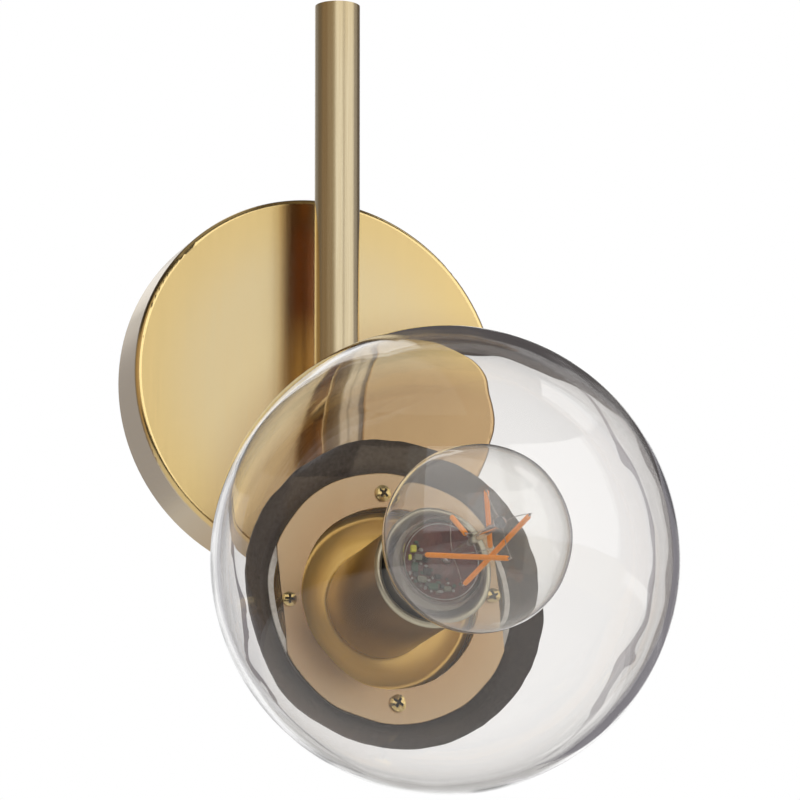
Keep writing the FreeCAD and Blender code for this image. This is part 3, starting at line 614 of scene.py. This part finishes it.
def makeThread(node, s, shape):
    # the node's own outside with a helical groove in it, which fades out at both ends
    low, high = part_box(node)
    axis = Vector(((low.x + high.x) / 2, 0, (low.z + high.z) / 2))
    corners = [v.co - axis for v in nodes[node].data.vertices]
    reach = [math.hypot(c.x, c.z) for c in corners]
    outside, bore = max(reach), min(reach)
    back, front = -high.y, -low.y
    pitch, groove, steps = s["pitchMm"] * mm, s["depthMm"] * mm, shape["steps"]
    fade = pitch * shape["fadePitches"]
    rows = max(shape["leastRows"], int((front - back) / pitch * shape["rowsPerPitch"]))
    outline = [(outside, back + (front - back) * i / rows) for i in range(rows + 1)]
    under = [(bore, front), (bore, back)]
    if s["wallMm"]:
        under = [(outside - s["wallMm"] * mm, depth) for _, depth in reversed(outline)]
    piece = spun(node + "Thread", outline + under, steps)
    count = len(outline) + len(under)
    for i, vertex in enumerate(piece.data.vertices):
        step, row = divmod(i, count)
        depth = -vertex.co.y
        near = min(1, max(0, (depth - back) / fade), max(0, (front - depth) / fade))
        wave = 0.5 - 0.5 * math.cos(2 * math.pi * (depth / pitch - step / steps))
        if row <= rows or s["wallMm"]:
            radius = math.hypot(vertex.co.x, vertex.co.z)
            grown = (radius - groove * wave * near) / radius
            vertex.co.x *= grown
            vertex.co.z *= grown
    piece.data.transform(Matrix.Translation(axis))
    smoothBy(cleaned(piece))
    finishPiece(piece, s["body"], s["slot"], look[s["look"]], node)


for node, settings in threads.items():
    makeThread(node, settings, threadShape)
print("threads cut")


# Thumb screws with a straight knurl

thumbScrew = {"ridges": 22, "stepsPerRidge": 6, "ridgeMm": 0.28, "chamferMm": 0.6, "shankRadiusMm": 1.5,
              "headOnly": 0.7, "smoothDegrees": 30}


def makeThumbScrews(s):
    made = []
    axis = Vector((0, 0, shadeAxisHeight))
    chamfer, ridge, shank = s["chamferMm"] * mm, s["ridgeMm"] * mm, s["shankRadiusMm"] * mm
    for number, corners in enumerate(islands("thumb_screws")):
        middle = sum(corners, Vector()) / len(corners)
        out = Vector((middle.x, 0, middle.z)) - axis
        out.normalize()
        along = [(c - axis).dot(out) for c in corners]
        depths = [c.y for c in corners]
        headRadius, depth = (max(depths) - min(depths)) / 2, (max(depths) + min(depths)) / 2
        # the head begins where corners first stand far from the screw's own axis
        seat = min(a for a, c in zip(along, corners)
                   if (c - axis - out * a - Vector((0, depth, 0))).length > headRadius * s["headOnly"])
        outline = [(0, min(along)), (shank, min(along)), (shank, seat), (headRadius - chamfer, seat),
                   (headRadius, seat + chamfer), (headRadius, max(along) - chamfer),
                   (headRadius - chamfer, max(along)), (0, max(along) - ridge)]
        knurled = [row for row, point in enumerate(outline) if point[0] == headRadius]
        piece = spun("thumbScrew" + str(number), outline, s["ridges"] * s["stepsPerRidge"], closed=False)
        for i, vertex in enumerate(piece.data.vertices):
            step, row = divmod(i, len(outline))
            if row in knurled:
                wave = 0.5 - 0.5 * math.cos(2 * math.pi * step / s["stepsPerRidge"])
                drop = 1 - ridge / headRadius * wave
                vertex.co.x *= drop
                vertex.co.z *= drop
        turn = Vector((0, -1, 0)).rotation_difference(out).to_matrix().to_4x4()
        piece.data.transform(Matrix.Translation(axis + Vector((0, depth, 0))) @ turn)
        made.append(cleaned(piece))
    whole = smoothBy(joined("thumbScrews", made), s["smoothDegrees"])
    finishPiece(whole, "shade", "satin_brass", look["burnishedBrass"], "thumb_screws")


makeThumbScrews(thumbScrew)
print("thumb screws knurled")


# The blown globe: its outside is nearly true, and its wall a little thicker here and there

# the waves fade out toward the seat over calmFadeMm, and the glass is true from calmMm behind its middle
blownGlobe = {"radiusMm": 100.0, "wallMm": 3.0, "lipRadiusMm": 53.0, "openingMm": 51.5,
              "thickMm": 0.55, "thickWaveMm": 42, "thickPlace": (0, 7.7, 0),
              "ripple": 0.16, "rippleWaveMm": 15,
              "outsideMm": 0.25, "outsideWaveMm": 92.4, "outsidePlace": (3.1, 0, 0),
              "calmMm": 75, "calmFadeMm": 20, "rows": 120, "lipRows": 8, "steps": 240}


def makeGlobe(s):
    radius, wall, lip, opening = [s[key] * mm for key in ("radiusMm", "wallMm", "lipRadiusMm", "openingMm")]
    centre = -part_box("glass_globe")[0].y - radius
    rows, lipRows = s["rows"], s["lipRows"]

    def onBall(reach, row):
        # the point at this row of a ball, counted from its front to the edge of the hole
        angle = (math.pi - math.asin(lip / reach)) * row / rows
        return reach * math.sin(angle), centre + reach * math.cos(angle)

    outline = [onBall(radius, row) for row in range(rows + 1)]
    outer, inner = outline[-1], onBall(radius - wall, rows)
    lipDepth = centre - math.sqrt((radius - wall / 2) ** 2 - opening ** 2)
    middle = [(a + b) / 2 for a, b in zip(outer, inner)]
    toward = (opening - middle[0], lipDepth - middle[1])
    for i in range(1, lipRows):  # the fire polished lip
        a = math.pi * i / lipRows
        outline.append(tuple(m + (o - m) * math.cos(a) + t * math.sin(a)
                             for m, o, t in zip(middle, outer, toward)))
    start = len(outline)
    outline += [onBall(radius - wall, row) for row in range(rows, -1, -1)]
    piece = spun("blownGlobe", outline, s["steps"], closed=False)
    pole = Vector((0, -centre, 0))
    for i, vertex in enumerate(piece.data.vertices):
        row = i % len(outline)
        ray = vertex.co - pole
        near = min(1, max(0, (-vertex.co.y - (centre - s["calmMm"] * mm)) / (s["calmFadeMm"] * mm)))
        if row <= rows:
            sway = 0.5 + 0.5 * noise.noise(ray / (s["outsideWaveMm"] * mm) + Vector(s["outsidePlace"]))
            vertex.co = pole + ray * (1 - s["outsideMm"] * mm * sway * near / ray.length)
        elif row >= start:
            sway = 0.5 + 0.5 * noise.noise(ray / (s["thickWaveMm"] * mm) + Vector(s["thickPlace"]))
            sway += s["ripple"] * (0.5 + 0.5 * noise.noise(ray / (s["rippleWaveMm"] * mm)))
            vertex.co = pole + ray * (1 - s["thickMm"] * mm * sway * near / ray.length)
    smoothBy(toShadeAxis(cleaned(piece)))
    finishPiece(piece, "shade", "globe_glass", look["blownGlass"], "glass_globe")


makeGlobe(blownGlobe)
print("globe blown")


# The lamp's glass, blown thin: the CAD's outside with a thinner wall

lampGlobe = {"radiusMm": 40.0, "neckMm": 19.5, "blendMm": 16.0, "collarMm": 12.8, "wallMm": 0.45,
             "ballRows": 72, "blendRows": 12, "shoulderRows": 16, "steps": 128}


def makeLampGlobe(s):
    low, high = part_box("lamp_glass")
    radius, neck, blend, collarRadius, wall = [s[key] * mm for key in ("radiusMm", "neckMm", "blendMm",
                                                                      "collarMm", "wallMm")]
    centre, collar = -low.y - radius, -high.y
    across, apart = neck + blend, radius + blend
    blendDepth = centre - math.sqrt(apart ** 2 - across ** 2)
    drop = blendDepth - collar
    shoulder = ((neck - collarRadius) ** 2 + drop ** 2) / (2 * (neck - collarRadius))
    ballTurn, blendTurn = math.pi - math.asin(across / apart), math.acos(across / apart)
    shoulderTurn = math.asin(drop / shoulder)

    def side(inset):
        # the ball, the hollow curve to the neck, and the shoulder down to the collar
        points = []
        for i in range(s["ballRows"] + 1):
            a = ballTurn * i / s["ballRows"]
            points.append(((radius - inset) * math.sin(a), centre + (radius - inset) * math.cos(a)))
        for i in range(1, s["blendRows"] + 1):
            a = blendTurn * (1 - i / s["blendRows"])
            points.append((across - (blend + inset) * math.cos(a),
                           blendDepth + (blend + inset) * math.sin(a)))
        for i in range(1, s["shoulderRows"] + 1):
            a = shoulderTurn * i / s["shoulderRows"]
            points.append((neck - shoulder + (shoulder - inset) * math.cos(a),
                           blendDepth - (shoulder - inset) * math.sin(a)))
        return points

    piece = cleaned(spun("lampGlobe", side(0) + side(wall)[::-1], s["steps"], closed=False))
    smoothBy(toShadeAxis(piece))
    finishPiece(piece, "lamp", "lamp_glass", look["lampGlass"], "lamp_glass")


makeLampGlobe(lampGlobe)
print("lamp's glass blown")


# The gasket: die cut from soft sheet, so its outer edge isn't quite true

gasketRing = {"frontMm": 100.05, "thickMm": 2.0, "innerMm": 55.5, "outerMm": 70.3, "raggedMm": 0.7,
              "raggedWaveMm": 6, "raggedFade": 3, "rows": 10, "steps": 360, "smoothDegrees": 40}


def makeGasket(s):
    front, rows = s["frontMm"] * mm, s["rows"]
    back = front + s["thickMm"] * mm
    centre = -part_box("glass_globe")[0].y - front
    start, end = s["innerMm"] * mm, s["outerMm"] * mm
    radii = [start + (end - start) * i / rows for i in range(rows + 1)]
    outline = [(r, centre - math.sqrt(front ** 2 - r ** 2)) for r in radii]
    outline += [(r, centre - math.sqrt(back ** 2 - r ** 2)) for r in reversed(radii)]
    piece = spun("gasketRing", outline, s["steps"])
    for i, vertex in enumerate(piece.data.vertices):
        row = i % len(outline)
        shell, row = (front, row) if row <= rows else (back, 2 * rows + 1 - row)
        spot = Vector((vertex.co.x, 0, vertex.co.z))
        ragged = 0.5 + 0.5 * noise.noise(spot.normalized() * s["outerMm"] / s["raggedWaveMm"])
        radius = spot.length - s["raggedMm"] * mm * ragged * (row / rows) ** s["raggedFade"]
        depth = centre - math.sqrt(shell ** 2 - radius ** 2)
        vertex.co = Vector((0, -depth, 0)) + spot.normalized() * radius
    smoothBy(toShadeAxis(cleaned(piece)), s["smoothDegrees"])
    finishPiece(piece, "shade", "gasket_rubber", look["mouldedRubber"], "outer_gasket")


makeGasket(gasketRing)
print("gasket cut")


# The lamp's driver board, filaments and lead wires

driverBoard = {"thickMm": 1.5, "edgeMm": 0.35, "edgeSlope": 0.4, "ringInsetMm": 0.45, "ringMm": 0.5,
               "ringRiseMm": 0.25, "ringShoulder": 0.6, "sunkMm": 0.1, "chipEdgeMm": 0.25, "steps": 96,
               "smoothDegrees": 35}
# across, up, width, height and rise of each small part, all in mm, on the front of the board
boardParts = {
    "ceramicChip": [
        (-10.8, 1.2, 3.8, 2.8, 1.8), (-9.2, -8.6, 4.2, 2.8, 1.6), (2.6, -12, 3.2, 2.4, 1.2),
        (-9.6, -11.6, 1.2, 1, 0.8), (-2, -13.8, 1.2, 1.2, 0.8)],
    "yellowTape": [(-13.2, 5, 2.6, 3.2, 2), (-14.6, 1, 1.4, 2.6, 1.3)],
    "greenVarnish": [
        (-12.4, -3.4, 3, 4.2, 1.6), (-4, -11.4, 4.4, 3, 1.4), (-9, -5.6, 1.4, 1.4, 0.9),
        (-1.4, -9.2, 2.2, 1.2, 1), (5.8, -10.2, 1.6, 1.6, 0.9), (-11.6, 8.2, 2, 1.4, 0.9),
        (-12.2, -9.6, 1.4, 1.4, 1), (-4.2, -3.8, 1, 1.4, 0.8), (-7, 3.2, 1.2, 1.2, 0.8),
        (8.6, -9.2, 1.2, 1.4, 0.8)],
    "solderedTin": [
        (-9.4, 4.8, 2.2, 1.4, 1), (-9.6, -1.6, 1.6, 1.2, 1.2), (-14.6, -6.2, 1.2, 1.6, 0.9),
        (-7.6, -12.2, 1.2, 1.6, 0.8), (-5.8, -8.6, 1.6, 1.2, 0.9), (-0.4, -13.4, 2.4, 1.2, 0.9),
        (3, -9.2, 1.4, 1, 0.8), (-12.6, -0.6, 1.2, 1, 1.6), (-4.2, -7.4, 1.2, 1.4, 0.9),
        (-6.8, -2.4, 1.6, 1, 0.9), (5.4, -12.6, 1.4, 1.2, 0.8), (-4.8, -13.6, 1.2, 1, 0.8),
        (-13.6, -8.4, 1, 1, 0.8)],
    "mouldedEpoxy": [
        (-6.6, -5, 3.4, 3, 1.5), (-12, -6.6, 2.4, 1.8, 1.2), (-6.4, -10.6, 2.4, 1.8, 1.3),
        (-1.6, -6.6, 2.8, 2.2, 1.2), (0.4, -10.9, 1.8, 1.8, 1.1), (-7.2, 0.6, 2.2, 2.8, 1.3),
        (-10.6, 6.6, 1.6, 1.4, 0.9), (2.6, -7.2, 1.4, 1.2, 0.8)],
}


def roundedBlock(name, low, high, bevel):
    vertices = [(x, y, z) for x in (low[0], high[0]) for y in (low[1], high[1]) for z in (low[2], high[2])]
    faces = [(0, 1, 3, 2), (4, 6, 7, 5), (0, 4, 5, 1), (2, 3, 7, 6), (0, 2, 6, 4), (1, 5, 7, 3)]
    piece = meshPiece(name, vertices, faces, False)
    work = bmesh.new()
    work.from_mesh(piece.data)
    bmesh.ops.bevel(work, geom=work.edges[:], offset=bevel, segments=2, affect="EDGES")
    bmesh.ops.recalc_face_normals(work, faces=work.faces)
    work.to_mesh(piece.data)
    work.free()
    return piece


def makeBoard(s, parts):
    low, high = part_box("lamp_board")
    radius, front = (high.x - low.x) / 2, -high.y + s["thickMm"] * mm
    edge = s["edgeMm"] * mm
    disc = cleaned(spun("driverBoard", [
        (0, -high.y), (radius, -high.y), (radius, front - edge * s["edgeSlope"]), (radius - edge, front),
        (0, front)], s["steps"], closed=False))
    smoothBy(toShadeAxis(disc), s["smoothDegrees"])
    finishPiece(disc, "lamp", "circuit_board", look["solderMask"], "lamp_board")

    outside, rise = radius - s["ringInsetMm"] * mm, s["ringRiseMm"] * mm  # the tinned ring round its edge
    inside, sunk = outside - s["ringMm"] * mm, front - s["sunkMm"] * mm
    side = front + rise * s["ringShoulder"]
    ring = cleaned(spun("boardRing", [
        (inside, sunk), (outside, sunk), (outside, side), ((inside + outside) / 2, front + rise),
        (inside, side)], s["steps"]))
    smoothBy(toShadeAxis(ring))
    finishPiece(ring, "lamp", "circuit_board", look["solderedTin"])

    for lookName, places in parts.items():
        pieces = []
        for number, (x, z, width, height, out) in enumerate(places):
            x0, z0 = (x - width / 2) * mm, (z - height / 2) * mm
            pieces.append(roundedBlock(
                lookName + str(number), (x0, -front - out * mm, z0 + shadeAxisHeight),
                (x0 + width * mm, -sunk, z0 + height * mm + shadeAxisHeight), s["chipEdgeMm"] * mm))
        whole = joined("board" + lookName[0].upper() + lookName[1:], pieces)
        finishPiece(whole, "lamp", "circuit_board", look[lookName])


def endsOf(corners):
    # the two ends of a thin straight wire, each the middle of the corners there
    middle = sum(corners, Vector()) / len(corners)
    far = max(corners, key=lambda c: (c - middle).length)
    along = (far - middle).normalized()
    reach = [(c - middle).dot(along) for c in corners]
    share = (max(reach) - min(reach)) / 8
    ends = []
    for limit in (min(reach), max(reach)):
        near = [c for c, r in zip(corners, reach) if abs(r - limit) < share]
        ends.append(sum(near, Vector()) / len(near))
    return ends


# the metal ends stand bare for capMm, and reach a little way into the coated rod
filamentRod = {"radiusMm": 1.12, "capMm": 2.0, "capStartMm": 0.3, "capInsideMm": 0.5, "capRadiusMm": 0.51,
               "rows": 12, "sides": 20}


def makeFilaments(s):
    rods, caps = [], []
    inset = s["capMm"] * mm
    for number, corners in enumerate(islands("lamp_filaments")):
        start, finish = endsOf(corners)
        along = (finish - start).normalized()
        coated = finish - start - along * 2 * inset
        points = [start + along * inset + coated * (i / s["rows"]) for i in range(s["rows"] + 1)]
        rods.append(tube("rod" + str(number), points, s["radiusMm"] * mm, s["sides"]))
        for end, way in ((start, along), (finish, -along)):
            reach = [end + way * s["capStartMm"] * mm, end + way * (inset + s["capInsideMm"] * mm)]
            caps.append(tube("cap", reach, s["capRadiusMm"] * mm))
    whole = smoothBy(joined("filamentRods", rods))
    finishPiece(whole, "lamp", "filament", look["phosphorSilicone"], "lamp_filaments")
    ends = smoothBy(joined("filamentEnds", caps))
    finishPiece(ends, "lamp", "nickel_wire", look["nickelWire"])


leadWire = {"radiusMm": 0.2, "bowMm": 0.7, "bowLoss": 0.5, "rows": 14, "sides": 10}


def makeLeads(s):
    made = []
    for number, corners in enumerate(islands("lamp_leads")):
        start, finish = endsOf(corners)
        across = (finish - start).cross(Vector((0, 1, 0))).normalized()
        points = []
        for i in range(s["rows"] + 1):
            t = i / s["rows"]
            bow = math.sin(math.pi * t) * (1 - s["bowLoss"] * t)
            points.append(start.lerp(finish, t) + across * s["bowMm"] * mm * bow)
        made.append(tube("lead" + str(number), points, s["radiusMm"] * mm, s["sides"]))
    whole = smoothBy(joined("leadWires", made))
    finishPiece(whole, "lamp", "nickel_wire", look["nickelWire"], "lamp_leads")


makeBoard(driverBoard, boardParts)
makeFilaments(filamentRod)
makeLeads(leadWire)
print("lamp's inside made")


# Studio: a pale floor, soft lamps, and panels all round that only reflections and the glass see

studio = {
    "floorHeight": -1.75, "floorColour": "#EDEBE8", "floorSize": 40.0, "floorRoughness": 0.9,
    "skyColour": "#FFFFFF", "worldLight": 0.62, "seenLight": 1.0, "panelReach": 6.5, "panelFaces": (16, 8),
    # each lamp's name, its place, its size and its watts
    "lamps": [
        ("keyLamp", (-1.6, -2.4, 1.9), 1.6, 26),
        ("fillLamp", (2.2, -2.0, 0.6), 1.8, 14),
        ("topLamp", (0.0, 0.4, 2.2), 1.4, 10),
    ],
    # each panel's name, its sides in degrees round from straight ahead, with right as positive, its heights
    # in degrees up from level, and its colour
    "panels": [
        ("leftFar", (-135, -104), (-60, 28), "#857B70"),
        ("leftNear", (-104, -68), (-60, 28), "#A08D76"),
        ("leftHigh", (-135, -68), (28, 60), "#35312E"),
        ("backEdge", (-174, -168), (-60, 22), "#D2D1D3"),
        ("backLeft", (-168, -135), (-60, 22), "#A4A3A6"),
        ("backLeftHigh", (-174, -135), (22, 60), "#625E5E"),
        ("frontLow", (-68, 20), (-60, 0), "#2E2C2A"),
        ("rightLow", (20, 80), (-45, 0), "#DAD3C6"),
        ("frontHigh", (-68, 80), (42, 60), "#3C3A38"),
        ("frontLeft", (-68, -38), (0, 42), "#B3A490"),
        ("softboxEdge", (-38, -28), (0, 42), "#C8C0B2"),
        ("mainSoftbox", (-28, 12), (0, 42), "#FFFFFF"),
        ("betweenBoxes", (12, 20), (0, 42), "#C8C5C0"),
        ("sideSoftbox", (20, 74), (0, 42), "#FFFFFF"),
        ("sideEdge", (74, 104), (-2, 42), "#B6B3B6"),
        ("rightDark", (104, 130), (-60, 60), "#6A625C"),
        ("ceilingRight", (0, 185), (60, 90), "#524A42"),
        ("ceilingLeft", (-175, 0), (60, 90), "#8C8781"),
        ("backHigh", (130, 171), (20.5, 60), "#575353"),
        ("backRight", (130, 149), (-30, 20.5), "#868388"),
        ("rightSeam", (154.2, 155.2), (-12, 20.5), "#C6C3C6"),
        ("leftSeam", (168.4, 169.2), (-8, 18), "#8A868A"),
    ],
    "strengths": {"mainSoftbox": 1.3, "sideSoftbox": 1.25},  # the others have 1
    # those behind, which the glass also shows where light passes through it
    "through": ("backEdge", "backLeft", "backLeftHigh", "backHigh", "backRight", "rightSeam", "leftSeam"),
}


def panelPatch(name, sides, heights, reach, size):
    vertices, faces = [], []
    across, up = size
    for j in range(up + 1):
        height = math.radians(heights[0] + (heights[1] - heights[0]) * j / up)
        for i in range(across + 1):
            side = math.radians(sides[0] + (sides[1] - sides[0]) * i / across)
            level = reach * math.cos(height)
            vertices.append((level * math.sin(side), -level * math.cos(side), reach * math.sin(height)))
    for j in range(up):
        for i in range(across):
            a = j * (across + 1) + i
            faces.append((a, a + 1, a + across + 2, a + across + 1))
    return meshPiece(name, vertices, faces)


def makeSky(s):
    # white where it is seen, and dimmer as a light
    world = bpy.data.worlds.new("studioWorld")
    bpy.context.scene.world = world
    world.use_nodes = True
    tree = world.node_tree
    tree.nodes.clear()
    path = addNode(tree, "ShaderNodeLightPath", {})
    seen = addNode(tree, "ShaderNodeMath", {"operation": "MAXIMUM"},
                   [(path, "Is Camera Ray", 0), (path, "Is Glossy Ray", 1)])
    seenToo = addNode(tree, "ShaderNodeMath", {"operation": "MAXIMUM"},
                      [(seen, 0, 0), (path, "Is Transmission Ray", 1)])
    light = addNode(tree, "ShaderNodeMapRange", {3: s["worldLight"], 4: s["seenLight"]}, [(seenToo, 0, 0)])
    sky = addNode(tree, "ShaderNodeBackground", {"Color": linear(s["skyColour"])}, [(light, 0, "Strength")])
    addNode(tree, "ShaderNodeOutputWorld", {}, [(sky, 0, "Surface")])


def makeFloor(s):
    half, height = s["floorSize"] / 2, s["floorHeight"]
    corners = [(x, y, height) for x, y in ((-half, -half), (half, -half), (half, half), (-half, half))]
    floor = meshPiece("studioFloor", corners, [(0, 1, 2, 3)], False)
    material, tree = startMaterial("paleFloor")
    shader = addNode(tree, "ShaderNodeBsdfPrincipled", {"Base Color": linear(s["floorColour"]),
                                                       "Roughness": s["floorRoughness"]})
    endMaterial(tree, shader)
    floor.data.materials.append(material)


def makePanel(name, sides, heights, colour, s):
    panel = panelPatch(name, sides, heights, s["panelReach"], s["panelFaces"])
    material, tree = startMaterial(name + "Cloth")
    glow = addNode(tree, "ShaderNodeEmission",
                   {"Color": linear(colour), "Strength": s["strengths"].get(name, 1.0)})
    if name in s["through"]:
        endMaterial(tree, glow, "Emission")
    else:  # straight through the glass the background shows, and the panel only in reflections
        path = addNode(tree, "ShaderNodeLightPath", {})
        bounced = addNode(tree, "ShaderNodeMath", {"operation": "GREATER_THAN", 1: 0.5},
                          [(path, "Glossy Depth", 0)])
        clear = addNode(tree, "ShaderNodeBsdfTransparent", {})
        shown = addNode(tree, "ShaderNodeMixShader", {}, [(bounced, 0, 0), (clear, 0, 1), (glow, 0, 2)])
        endMaterial(tree, shown, "Shader")
    material.cycles.emission_sampling = "NONE"
    panel.data.materials.append(material)
    panel.visible_camera = panel.visible_diffuse = panel.visible_shadow = False


def makeStudio(s):
    makeSky(s)
    makeFloor(s)
    for name, place, size, watts in s["lamps"]:
        light = bpy.data.lights.new(name, "AREA")
        light.shape, light.size, light.energy = "DISK", size, watts
        lamp = placed(name, light)
        aimed(lamp, place, cameraSet["lookAt"])
        lamp.visible_glossy = lamp.visible_transmission = False
    for panel in s["panels"]:
        makePanel(*panel, s)


makeStudio(studio)
bpy.context.scene.view_settings.view_transform = "Standard"
print("studio lit")
